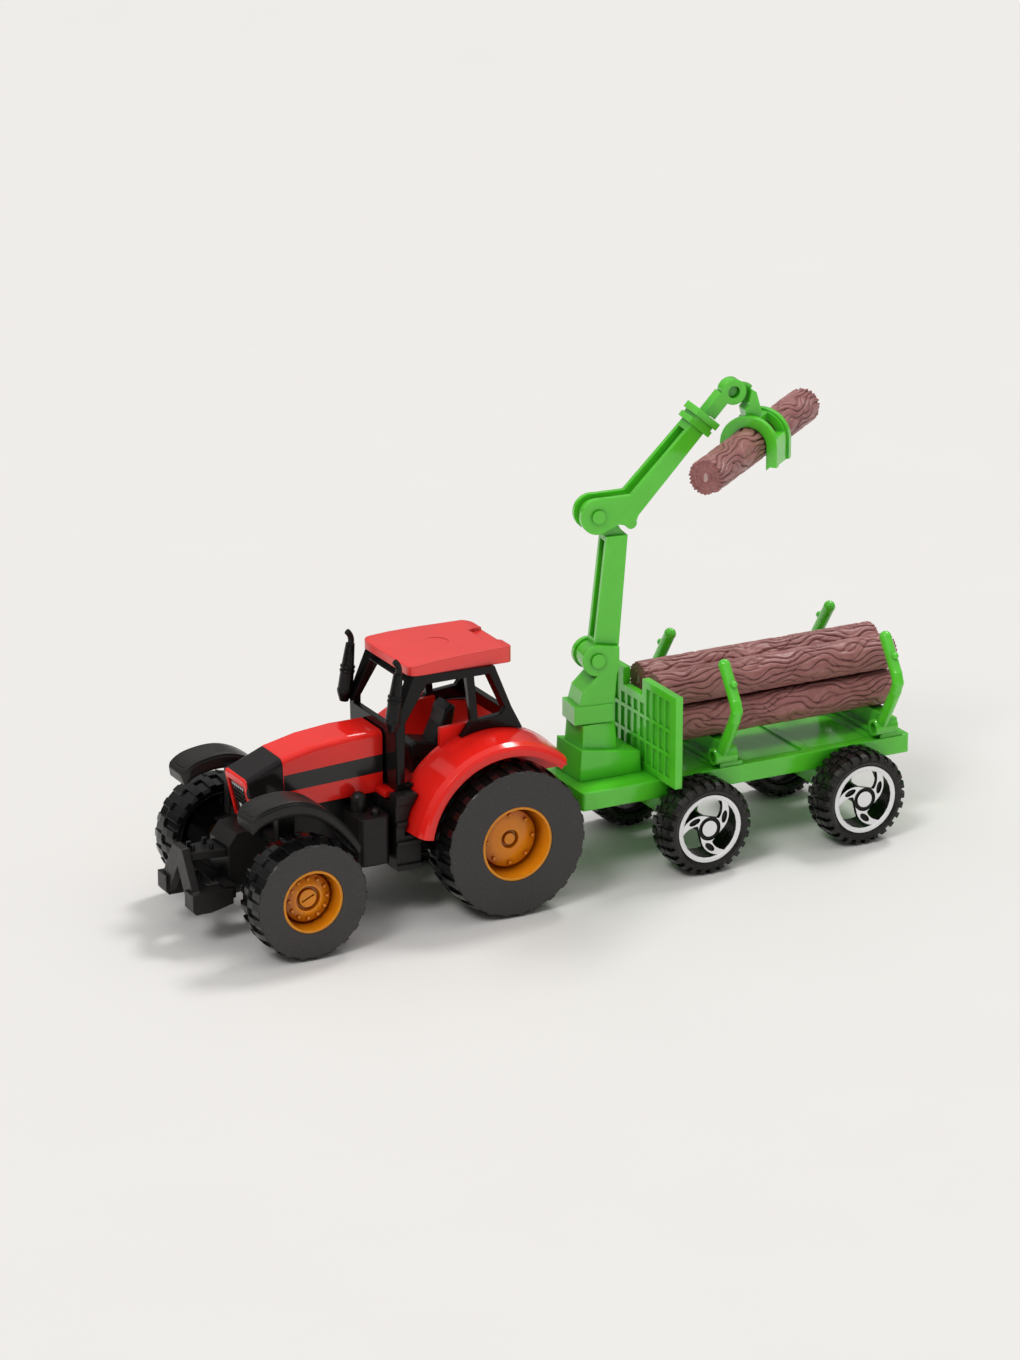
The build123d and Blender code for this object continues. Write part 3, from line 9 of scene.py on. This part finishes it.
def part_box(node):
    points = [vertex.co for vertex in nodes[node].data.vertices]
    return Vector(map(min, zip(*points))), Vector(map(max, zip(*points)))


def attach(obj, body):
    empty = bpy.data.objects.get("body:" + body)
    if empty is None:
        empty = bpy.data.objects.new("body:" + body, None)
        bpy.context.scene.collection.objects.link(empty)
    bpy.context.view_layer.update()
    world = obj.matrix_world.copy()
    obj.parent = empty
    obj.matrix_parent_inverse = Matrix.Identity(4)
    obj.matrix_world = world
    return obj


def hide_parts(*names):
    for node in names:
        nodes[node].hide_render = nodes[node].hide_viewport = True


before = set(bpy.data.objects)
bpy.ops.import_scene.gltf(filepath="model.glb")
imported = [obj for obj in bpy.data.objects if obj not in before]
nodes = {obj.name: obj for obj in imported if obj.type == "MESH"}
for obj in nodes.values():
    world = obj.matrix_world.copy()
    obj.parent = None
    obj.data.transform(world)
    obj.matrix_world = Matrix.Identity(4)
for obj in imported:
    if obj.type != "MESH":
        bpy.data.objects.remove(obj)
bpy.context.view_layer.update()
scene = bpy.context.scene
MM = 0.001

# Colours, as linear RGB. The darker tones that the materials fall to in corners and creases are painted
# shade.
RED = (0.88, 0.018, 0.012)
RED_SHADE = (0.50, 0.005, 0.004)
BLACK = (0.006, 0.0055, 0.0055)
BLACK_SHADE = (0.002, 0.002, 0.002)
COWL_BLACK = (0.012, 0.010, 0.010)
SEAT_BLACK = (0.012, 0.011, 0.011)
TREAD_BLACK = (0.005, 0.005, 0.005)
TRAILER_TYRE_BLACK = (0.013, 0.012, 0.011)
TYRE_FACE = (0.046, 0.043, 0.042)
TYRE_FACE_PALE = (0.062, 0.058, 0.056)
TYRE_SPECK = (0.16, 0.15, 0.14)
CHARCOAL = (0.014, 0.013, 0.0125)
SCUFF = (0.12, 0.11, 0.10)
GREEN = (0.115, 0.66, 0.030)
GREEN_SHADE = (0.035, 0.40, 0.010)
AMBER = (0.80, 0.29, 0.006)
AMBER_SHADE = (0.36, 0.08, 0.001)
STEEL = (0.55, 0.54, 0.52)
STEEL_SHADE = (0.2, 0.2, 0.2)
LIGHT_SILVER = (0.75, 0.76, 0.78)
LAMP_SILVER = (0.78, 0.79, 0.8)
HUB_WHITE = (0.93, 0.93, 0.94)
BARK = (0.310, 0.112, 0.106)
BARK_PALE = (0.400, 0.172, 0.160)
BARK_SHADE = (0.105, 0.030, 0.030)
GATE_MARK = (0.62, 0.43, 0.41)
FLOOR = (0.80, 0.79, 0.775)
FLOOR_PALE = (0.83, 0.82, 0.805)

# Printed and moulded marks, in mm along the frame's axes.
STRIPE_X = (-74.9, -47.4)
STRIPE_Y = (5.6, 7.0)
STRIPE_START_X = -74.4
STRIPE_LOW = (35.6, 0.035)  # an edge's height at STRIPE_START_X, and its slope
STRIPE_HIGH = (40.0, 0.045)
LIGHT_ROW_Z = (36.1, 37.2)
LIGHT_ROW_HALF_Y = 3.6
LIGHT_PITCH = 0.6
LAMP_Z = (30.6, 31.9)
LAMP_Y = (0.5, 1.9)
GUARD_MIDDLE = (-77.2, 20.0)
GUARD_CORE = (12.7, 2.0)  # half lengths of the rectangle that the lip line runs round
GUARD_LIP = 1.7
GROOVE_X = -81.0
GROOVE_HALF_Y = 2.1
LINE_HALF = 0.16
LINE_DEPTH = 0.8
PANEL_RISE = 0.25
FRONT_TYRE_FACE_Y = 30.5
REAR_TYRE_FACE_Y = 28.2
TYRE_FACE_DEPTH = 0.22
HUB_PRINT_Y = 24.22

# Logs, in mm.
LOG_R = 4.75
LOG_L = 70.0
LOG_SKIN = 0.02  # keeps the bark inside the CAD log
LOG_SEED = 11
HELD_LOG_SEED = 29
HELD_LOG_HEADING_DEG = 39.0
SCALLOPS = 28
SCALLOP_DEPTH = 0.34
SCALLOP_REACH = 0.9
END_RINGS = 26
GROWTH_PITCH = 1.15
GROWTH_DEPTH = 0.09
GATE_HALF = (0.55, 1.1)

# Light and camera, in metres. The camera stands where the photograph's did.
FLOOR_SIZE = 12.0
WORLD_STRENGTH = 0.76
KEY_POWER = 1.12
FILL_POWER = 0.90
LENS = 149.7
SENSOR = 36.0
CAMERA_PLACE = (-0.63898, -1.19310, 0.51993)
CAMERA_RIGHT = (0.88409, -0.46732, 0.0)
CAMERA_UP = (0.15299, 0.28943, 0.94489)
CAMERA_BACK = (-0.44157, -0.83537, 0.32738)


# ---------------------------------------------------------------- materials
class Net:
    """A material under construction: adds shader nodes and links them."""

    def __init__(self, name):
        self.mat = bpy.data.materials.new(name)
        self.mat.use_nodes = True
        self.tree = self.mat.node_tree
        self.tree.nodes.clear()
        out = self.tree.nodes.new("ShaderNodeOutputMaterial")
        self.bsdf = self.tree.nodes.new("ShaderNodeBsdfPrincipled")
        self.tree.links.new(self.bsdf.outputs[0], out.inputs[0])
        # Object coordinates are the frame's own, here in mm.
        coord = self.tree.nodes.new("ShaderNodeTexCoord")
        in_mm = self.tree.nodes.new("ShaderNodeVectorMath")
        in_mm.operation = "SCALE"
        self.put(in_mm.inputs[0], coord.outputs["Object"])
        self.put(in_mm.inputs["Scale"], 1 / MM)
        self.p = in_mm.outputs[0]
        split = self.add("ShaderNodeSeparateXYZ", Vector=self.p)
        self.x, self.y, self.z = split.outputs[0], split.outputs[1], split.outputs[2]

    def put(self, socket, value):
        if isinstance(value, bpy.types.NodeSocket):
            self.tree.links.new(value, socket)
        else:
            socket.default_value = value

    def add(self, kind, **inputs):
        node = self.tree.nodes.new(kind)
        for name, value in inputs.items():
            self.put(node.inputs[name], value)
        return node

    def math(self, op, a, b=0.0):
        node = self.tree.nodes.new("ShaderNodeMath")
        node.operation = op
        self.put(node.inputs[0], a)
        self.put(node.inputs[1], b)
        return node.outputs[0]

    def absolute(self, value, middle=0.0):
        """Distance of a value from a middle."""
        return self.math("ABSOLUTE", self.math("SUBTRACT", value, middle) if middle else value)

    def length(self, a, b):
        return self.math("SQRT", self.math("ADD", self.math("MULTIPLY", a, a), self.math("MULTIPLY", b, b)))

    def remap(self, value, a, b, c, d):
        node = self.add("ShaderNodeMapRange")
        for socket, v in zip(list(node.inputs)[:5], (value, a, b, c, d)):
            self.put(socket, v)
        return node.outputs[0]

    def step(self, value, edge, soft):
        """0 below edge, 1 above it, over a soft width."""
        node = self.add("ShaderNodeMapRange")
        node.interpolation_type = "SMOOTHSTEP"
        for socket, v in zip(node.inputs, (value, edge - soft, edge + soft)):
            self.put(socket, v)
        return node.outputs[0]

    def under(self, value, edge, soft):
        """1 below edge, 0 above it."""
        return self.math("SUBTRACT", 1.0, self.step(value, edge, soft))

    def within(self, value, limits, soft):
        """1 between two limits, 0 outside them."""
        return self.both(self.step(value, limits[0], soft), self.under(value, limits[1], soft))

    def both(self, *masks):
        out = masks[0]
        for m in masks[1:]:
            out = self.math("MULTIPLY", out, m)
        return out

    def noise(self, scale, detail=3.0, rough=0.55):
        node = self.add("ShaderNodeTexNoise", Scale=scale, Detail=detail, Roughness=rough, Vector=self.p)
        return node.outputs[0]

    def mix(self, fac, a, b):
        """Colour a where fac is 0, colour b where it is 1."""
        node = self.tree.nodes.new("ShaderNodeMix")
        node.data_type = "RGBA"
        self.put(node.inputs[0], fac)
        for socket, color in ((node.inputs[6], a), (node.inputs[7], b)):
            self.put(socket, color if isinstance(color, bpy.types.NodeSocket) else (*color, 1.0))
        return node.outputs[2]

    def paint_shade(self, color, shade_color, reach=4.0, floor=0.35):
        """Painted shade: colour darkened towards a shade tone in corners and creases, where ambient occlusion
        finds nearby surfaces.
        """
        ao = self.add("ShaderNodeAmbientOcclusion", Distance=reach * MM)
        ao.samples = 6
        return self.mix(self.remap(ao.outputs[1], floor, 1.0, 1.0, 0.0), color, shade_color)

    def surface(self, bevel, peel, fine=0.0, height=None):
        """Rounded edges, a faint moulded waviness, a finer grain and an optional relief in mm."""
        edge = self.add("ShaderNodeBevel", Radius=bevel * MM)
        edge.samples = 4
        relief = self.math("MULTIPLY", self.noise(0.9, 2.0), peel)
        if fine:
            relief = self.math("ADD", relief, self.math("MULTIPLY", self.noise(9.0, 2.0), fine))
        if height is not None:
            relief = self.math("ADD", relief, height)
        bump = self.add("ShaderNodeBump", Strength=0.3, Distance=MM, Height=relief, Normal=edge.outputs[0])
        self.put(self.bsdf.inputs["Normal"], bump.outputs[0])


def plastic(
    name, color, shade_color, rough, bevel=0.25, peel=0.03, fine=0.0, relief=None,
    specular=0.35, coat=0.0, coat_rough=0.08, sss=0.0, sss_color=None,
):
    """A moulded plastic with soft edges, uneven gloss and painted shade in its corners."""
    net = Net(name)
    lighter = tuple(min(1.0, c * 1.07 + 0.001) for c in color)
    base = net.mix(net.remap(net.noise(0.12), 0.35, 0.65, 0.0, 1.0), color, lighter)
    # Painted shade: the colour darkens towards the shade tone in corners.
    net.base = net.paint_shade(base, shade_color)
    net.rough = net.remap(net.noise(0.5, 4.0), 0.3, 0.7, *rough)
    net.put(net.bsdf.inputs["Base Color"], net.base)
    net.put(net.bsdf.inputs["Roughness"], net.rough)
    net.bsdf.inputs["Specular IOR Level"].default_value = specular
    net.bsdf.inputs["Coat Weight"].default_value = coat
    net.bsdf.inputs["Coat Roughness"].default_value = coat_rough
    if sss:
        net.bsdf.inputs["Subsurface Weight"].default_value = sss
        net.bsdf.inputs["Subsurface Scale"].default_value = 1.6 * MM
        net.bsdf.inputs["Subsurface Radius"].default_value = sss_color
    net.surface(bevel, peel, fine, relief(net) if relief else None)
    return net


def recolor(net, mask, color, rough):
    """Puts a second colour and roughness on a material where the mask is 1."""
    net.base = net.mix(mask, net.base, color)
    net.put(net.bsdf.inputs["Base Color"], net.base)
    node = net.tree.nodes.new("ShaderNodeMix")
    for socket, value in ((node.inputs[0], mask), (node.inputs[2], net.rough), (node.inputs[3], rough)):
        net.put(socket, value)
    net.rough = node.outputs[0]
    net.put(net.bsdf.inputs["Roughness"], net.rough)


def over_stripe_edge(net, height, slope):
    """Height above one of the bonnet stripe's sloped edges."""
    rise = net.math("MULTIPLY", net.math("SUBTRACT", net.x, STRIPE_START_X), slope)
    return net.math("SUBTRACT", net.z, net.math("ADD", height, rise))


def guard_relief(net):
    """Lip line inside a mudguard's outline and a short groove across its middle."""
    across = net.absolute(net.y)
    qx = net.math("SUBTRACT", net.absolute(net.x, GUARD_MIDDLE[0]), GUARD_CORE[0])
    qy = net.math("SUBTRACT", net.absolute(across, GUARD_MIDDLE[1]), GUARD_CORE[1])
    outside = net.length(net.math("MAXIMUM", qx, 0.0), net.math("MAXIMUM", qy, 0.0))
    from_core = net.math("ADD", outside, net.math("MINIMUM", net.math("MAXIMUM", qx, qy), 0.0))
    lip = net.under(net.absolute(from_core, GUARD_LIP), LINE_HALF, 0.12)
    panel = net.under(from_core, GUARD_LIP, 0.12)
    groove = net.both(
        net.under(net.absolute(net.x, GROOVE_X), LINE_HALF, 0.1),
        net.under(net.absolute(across, GUARD_MIDDLE[1]), GROOVE_HALF_Y, 0.15),
    )
    raised = net.math("MULTIPLY", panel, PANEL_RISE)
    return net.math("SUBTRACT", raised, net.math("MULTIPLY", net.math("MAXIMUM", lip, groove), LINE_DEPTH))


def tyre_material(name, face_y):
    """Flat matte outer face with pale specks; glossy black tread and shoulders."""
    net = plastic(name, TREAD_BLACK, BLACK_SHADE, (0.08, 0.13), bevel=0.35, peel=0.05, specular=0.28)
    flat = net.step(net.absolute(net.y), face_y - TYRE_FACE_DEPTH, 0.06)
    grain = net.remap(net.noise(1.6, 6.0, 0.7), 0.35, 0.7, 0.0, 1.0)
    dust = net.add("ShaderNodeTexVoronoi", Scale=0.35, Vector=net.p)
    speck = net.math("MULTIPLY", net.under(dust.outputs[0], 0.055, 0.02), 0.4)
    gray = net.mix(speck, net.mix(grain, TYRE_FACE, TYRE_FACE_PALE), TYRE_SPECK)
    recolor(net, flat, gray, 0.5)
    return net


body_red = plastic(
    "body_red", RED, RED_SHADE, (0.14, 0.2), peel=0.015, coat=0.25, sss=0.1, sss_color=(1.0, 0.15, 0.05),
)
stripe = body_red.both(
    body_red.step(over_stripe_edge(body_red, *STRIPE_LOW), 0.0, 0.05),
    body_red.under(over_stripe_edge(body_red, *STRIPE_HIGH), 0.0, 0.05),
    body_red.within(body_red.absolute(body_red.y), STRIPE_Y, 0.05),
    body_red.within(body_red.x, STRIPE_X, 0.05),
)
recolor(body_red, stripe, BLACK, 0.22)

roof_red = plastic(
    "roof_red", RED, RED_SHADE, (0.3, 0.36), bevel=0.5, peel=0.01, specular=0.6, coat=0.7, coat_rough=0.3,
)
cab_black = plastic("cab_black", BLACK, BLACK_SHADE, (0.09, 0.14), bevel=0.45, peel=0.10, specular=0.2)
cowl_black = plastic("cowl_black", COWL_BLACK, BLACK_SHADE, (0.10, 0.16), bevel=0.35, peel=0.06, specular=0.2)
seat_black = plastic("seat_black", SEAT_BLACK, BLACK_SHADE, (0.28, 0.4), bevel=0.5, peel=0.06)
guard_black = plastic(
    "guard_black", CHARCOAL, BLACK_SHADE, (0.28, 0.38), bevel=0.5, peel=0.05, fine=0.006, relief=guard_relief,
    specular=0.28,
)
charcoal = plastic(
    "charcoal", CHARCOAL, BLACK_SHADE, (0.3, 0.42), bevel=0.4, peel=0.06, fine=0.008, specular=0.25,
)
scuff = charcoal.step(charcoal.noise(0.35, 6.0, 0.75), 0.66, 0.05)
recolor(charcoal, charcoal.math("MULTIPLY", scuff, 0.25), SCUFF, 0.6)

steel = plastic("steel", STEEL, STEEL_SHADE, (0.25, 0.4), bevel=0.1)
steel.bsdf.inputs["Metallic"].default_value = 1.0

grille_black = plastic("grille_black", BLACK, BLACK_SHADE, (0.2, 0.3), bevel=0.1)
grille_y = grille_black.absolute(grille_black.y)
dots = grille_black.math("PINGPONG", grille_black.math("ADD", grille_black.y, LIGHT_PITCH), LIGHT_PITCH)
light_row = grille_black.both(
    grille_black.within(grille_black.z, LIGHT_ROW_Z, 0.06), grille_black.step(dots, LIGHT_PITCH / 2, 0.05),
    grille_black.under(grille_y, LIGHT_ROW_HALF_Y, 0.06),
)
lamps = grille_black.both(
    grille_black.within(grille_black.z, LAMP_Z, 0.06), grille_black.within(grille_y, LAMP_Y, 0.06),
)
recolor(grille_black, light_row, LIGHT_SILVER, 0.2)
recolor(grille_black, lamps, LAMP_SILVER, 0.2)

front_tyre = tyre_material("front_tyre_plastic", FRONT_TYRE_FACE_Y)
rear_tyre = tyre_material("rear_tyre_plastic", REAR_TYRE_FACE_Y)
trailer_tyre = plastic("trailer_tyre_plastic", TRAILER_TYRE_BLACK, BLACK_SHADE, (0.22, 0.36), peel=0.08)
amber = plastic(
    "amber", AMBER, AMBER_SHADE, (0.14, 0.22), bevel=0.2, coat=0.1, sss=0.5, sss_color=(1.0, 0.42, 0.06),
)
hub_print = plastic("hub_print", BLACK, BLACK_SHADE, (0.2, 0.3), bevel=0.1, specular=0.2)
recolor(hub_print, hub_print.step(hub_print.absolute(hub_print.y), HUB_PRINT_Y, 0.02), HUB_WHITE, 0.35)
green = plastic(
    "green", GREEN, GREEN_SHADE, (0.16, 0.23), bevel=0.5, peel=0.035, specular=0.5, coat=0.5, sss=0.6,
    sss_color=(0.35, 1.0, 0.12),
)

bark = Net("bark")
brown = bark.mix(bark.remap(bark.noise(0.35, 5.0, 0.6), 0.35, 0.68, 0.0, 1.0), BARK, BARK_PALE)
gate = bark.add("ShaderNodeAttribute")
gate.attribute_name = "gate"
brown = bark.mix(gate.outputs["Fac"], brown, GATE_MARK)
# Painted shade darkens the bark in its creases.
bark.put(bark.bsdf.inputs["Base Color"], bark.paint_shade(brown, BARK_SHADE, reach=1.2, floor=0.2))
bark.put(bark.bsdf.inputs["Roughness"], bark.remap(bark.noise(0.8, 4.0), 0.3, 0.7, 0.36, 0.5))
bark.surface(bevel=0.1, peel=0.04, fine=0.015)


def four(pattern):
    """Node names for the front and rear, left and right piece of a kind."""
    return [pattern.format(end=end, side=side) for end in ("front", "rear") for side in ("left", "right")]


by_material = {
    body_red: ["body_shell"],
    roof_red: ["roof"],
    cab_black: ["cab_frame", "exhaust_stack_left", "exhaust_stack_right"],
    cowl_black: ["bonnet_cowl"],
    grille_black: ["grille"],
    charcoal: ["chassis", "front_linkage"],
    guard_black: ["front_mudguard_left", "front_mudguard_right"],
    seat_black: ["seat"],
    steel: ["chassis_screws", "front_axle", "rear_axle", "trailer_front_axle", "trailer_rear_axle"],
    front_tyre: ["front_tyre_left", "front_tyre_right"],
    rear_tyre: ["rear_tyre_left", "rear_tyre_right"],
    trailer_tyre: four("trailer_{end}_tyre_{side}"),
    amber: four("{end}_rim_{side}"),
    hub_print: four("trailer_{end}_hub_{side}"),
    green: [
        "trailer_deck", "crane_pedestal", "headboard", "front_stakes", "rear_stakes", "crane_turret",
        "boom_pin", "crane_column", "crane_forearm", "arm_pin", "crane_stick", "grapple",
    ],
}
for net, names in by_material.items():
    for name in names:
        nodes[name].data.materials.clear()
        nodes[name].data.materials.append(net.mat)


# ---------------------------------------------------------------- logs
def bark_height(u, a, seed):
    """Wavy bark relief in mm, below 0, for a place u mm along a log and angle a round it."""
    p = np.random.default_rng(seed).uniform(0, 2 * np.pi, 8)
    sway = 1.7 * np.sin(0.21 * u + 2 * a + p[0]) + 1.2 * np.sin(0.43 * u - 2 * a + p[1])
    sway = sway + 0.5 * np.sin(0.8 * u + 3 * a + p[2])
    cross_sway = -1.9 * np.sin(0.27 * u - a + p[3]) - 1.1 * np.sin(0.6 * u + 2 * a + p[4])
    crease = 1 - np.abs(np.sin(7 * a + sway))
    cross = 1 - np.abs(np.sin(5 * a + cross_sway))
    grain = np.sin(23 * a + 1.5 * sway + 0.5 * np.sin(1.3 * u + p[5]))
    fade = 0.5 + 0.5 * np.sin(0.37 * u + 3 * a + p[6])
    return -0.62 * crease ** 3 - 0.5 * fade * cross ** 4 + 0.04 * grain - 0.06


def quads(first, second, count):
    """Faces between two rings of vertices that start at the given numbers."""
    for j in range(count):
        k = (j + 1) % count
        yield first + j, first + k, second + k, second + j


def make_log(name, middle, direction, seed):
    """Moulded log: bark relief on the side, scalloped ends with faint growth rings."""
    round_n, long_n = ((168, 300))
    u = np.linspace(0, LOG_L, long_n)
    a = np.linspace(0, 2 * np.pi, round_n, endpoint=False)
    uu, aa = np.meshgrid(u, a, indexing="ij")
    edge = np.minimum(uu, LOG_L - uu)
    scallop = SCALLOP_DEPTH * (0.5 + 0.5 * np.sin(SCALLOPS * aa + seed)) * np.exp(-edge / SCALLOP_REACH)
    r = LOG_R - LOG_SKIN + bark_height(uu, aa, seed) - scallop - 0.06 * np.exp(-edge / 0.2)
    side_points = np.stack([r * np.cos(aa), r * np.sin(aa), uu - LOG_L / 2], axis=-1).reshape(-1, 3)
    rings = [side_points]
    faces = []
    for i in range(long_n - 1):
        faces += quads(i * round_n, (i + 1) * round_n, round_n)
    total = len(side_points)
    for inward, first in ((1, 0), (-1, (long_n - 1) * round_n)):
        rim = side_points[first:first + round_n]
        previous = first
        for s in range(1, END_RINGS + 1):
            share = 1 - s / (END_RINGS + 0.6)
            dip = GROWTH_DEPTH * (1 - math.cos(LOG_R * share * 2 * math.pi / GROWTH_PITCH))
            ring = rim.copy()
            ring[:, :2] *= share
            ring[:, 2] += inward * (dip + LOG_SKIN)
            rings.append(ring)
            faces += [quad[::-inward] for quad in quads(previous, total, round_n)]
            previous = total
            total += round_n
        faces.append(tuple(range(previous, previous + round_n))[::-inward])
    points = np.concatenate(rings)

    along = Vector(direction).normalized()
    side = Vector((0, 0, 1)).cross(along).normalized()
    basis = np.array([list(side), list(along.cross(side)), list(along)])
    mesh = bpy.data.meshes.new(name)
    mesh.from_pydata((points @ basis * MM + np.array(middle)).tolist(), [], faces)
    mesh.update()
    mesh.shade_smooth()
    at_end = np.abs(points[:, 2]) > LOG_L / 2 - 0.5
    near = (points[:, 0] / GATE_HALF[0]) ** 2 + (points[:, 1] / GATE_HALF[1]) ** 2 < 1.0
    marks = mesh.attributes.new("gate", "FLOAT", "POINT")
    marks.data.foreach_set("value", (at_end & near).astype(np.float32))
    mesh.materials.append(bark.mat)
    obj = bpy.data.objects.new(name, mesh)
    scene.collection.objects.link(obj)
    return obj


heading = math.radians(HELD_LOG_HEADING_DEG)
lying = [(f"log_{k}", (1, 0, 0), LOG_SEED + k - 1) for k in (1, 2, 3, 4)]
for node, direction, seed in lying + [("held_log", (math.cos(heading), math.sin(heading), 0), HELD_LOG_SEED)]:
    lo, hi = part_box(node)
    log = make_log(f"bark_{node}", (lo + hi) / 2, direction, seed)
    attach(log, node)
    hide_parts(node)

# ---------------------------------------------------------------- floor, light and camera
floor_net = Net("floor")
floor_net.put(floor_net.bsdf.inputs["Base Color"], floor_net.mix(floor_net.noise(0.02), FLOOR, FLOOR_PALE))
floor_net.bsdf.inputs["Roughness"].default_value = 0.7
floor_net.bsdf.inputs["Specular IOR Level"].default_value = 0.15
bpy.ops.mesh.primitive_plane_add(size=FLOOR_SIZE)
floor = bpy.context.object
floor.name = "floor"
floor.data.materials.append(floor_net.mat)

# A studio that is dark below and brighter towards the top.
world = bpy.data.worlds.new("studio")
scene.world = world
world.use_nodes = True
sky = world.node_tree
position = sky.nodes.new("ShaderNodeTexCoord")
up_part = sky.nodes.new("ShaderNodeSeparateXYZ")
ramp = sky.nodes.new("ShaderNodeValToRGB")
low_end, high_end = ramp.color_ramp.elements
low_end.position, low_end.color = 0.0, (0.05, 0.05, 0.05, 1.0)
high_end.position, high_end.color = 0.9, (1.0, 0.99, 0.975, 1.0)
background = sky.nodes["Background"]
background.inputs[1].default_value = WORLD_STRENGTH
sky.links.new(position.outputs["Generated"], up_part.inputs[0])
sky.links.new(up_part.outputs[2], ramp.inputs[0])
sky.links.new(ramp.outputs[0], background.inputs[0])


def sun(name, direction, angle, power, color):
    """Broad even light from far away, shining along a direction."""
    data = bpy.data.lights.new(name, "SUN")
    data.angle = math.radians(angle)
    data.energy = power
    data.color = color
    obj = bpy.data.objects.new(name, data)
    obj.rotation_euler = Vector(direction).to_track_quat("-Z", "Y").to_euler()
    scene.collection.objects.link(obj)


sun("key", (-0.66, -0.34, -1.15), 13, KEY_POWER, (1.0, 0.985, 0.965))
sun("fill", (0.72, 0.45, -0.95), 17, FILL_POWER, (1.0, 0.99, 0.98))

camera_data = bpy.data.cameras.new("camera")
camera_data.lens = LENS
camera_data.sensor_width = SENSOR
camera = bpy.data.objects.new("camera", camera_data)
rows = zip(CAMERA_RIGHT, CAMERA_UP, CAMERA_BACK, CAMERA_PLACE)
camera.matrix_world = Matrix([*rows, (0, 0, 0, 1)])
scene.collection.objects.link(camera)
scene.camera = camera
scene.view_settings.view_transform = "Standard"
